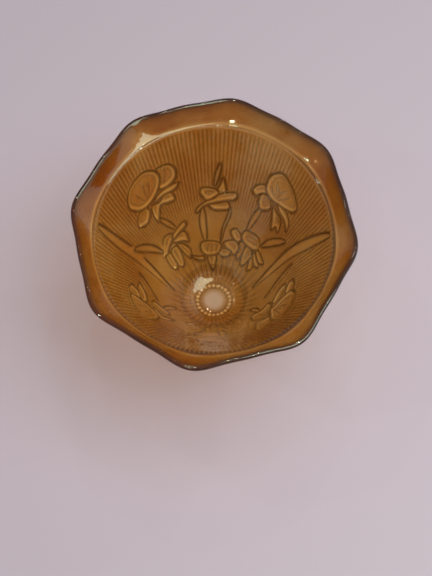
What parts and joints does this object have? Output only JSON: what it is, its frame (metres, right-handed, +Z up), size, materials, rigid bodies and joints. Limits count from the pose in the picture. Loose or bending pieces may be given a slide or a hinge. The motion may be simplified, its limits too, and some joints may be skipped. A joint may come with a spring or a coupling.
{
  "type": "ruffled bowl",
  "caption": "Deep pressed-glass bowl with a ruffled flaring rim, irises in relief on the outside of a ribbed wall, and a low round foot.",
  "frame": {"origin": "centre of the foot ring in the plane that the bowl rests on", "axes": "+Z up through the middle of the mouth, +Y towards the back along the slightly longer way of the oval rim, +X to the right"},
  "size_m": [0.2304, 0.2472, 0.1509],
  "materials": {
    "marigold_glass": "glossy pressed glass with a fired iridescent marigold lustre",
    "clear_glass": "glossy clear pressed glass without lustre"
  },
  "bodies": {
    "root": {"base_beads": "clear_glass", "base_disc": "clear_glass", "foot_ring": "clear_glass", "iris_bloom_1": "marigold_glass", "iris_bloom_2": "marigold_glass", "iris_bloom_3": "marigold_glass", "iris_bloom_4": "marigold_glass", "iris_bud_1": "marigold_glass", "iris_bud_2": "marigold_glass", "iris_stem_1": "marigold_glass", "iris_stem_2": "marigold_glass", "iris_stem_3": "marigold_glass", "iris_stem_4": "marigold_glass", "low_flower_1": "marigold_glass", "low_flower_2": "marigold_glass", "low_flower_3": "marigold_glass", "low_flower_4": "marigold_glass", "lower_wall": "marigold_glass", "ribbed_panel": "marigold_glass", "rim_band": "marigold_glass", "rim_lip": "marigold_glass", "short_leaf_1": "marigold_glass", "short_leaf_2": "marigold_glass", "short_leaf_3": "marigold_glass", "short_leaf_4": "marigold_glass", "sword_leaf_1": "marigold_glass", "sword_leaf_2": "marigold_glass"}
  },
  "joints": []
}
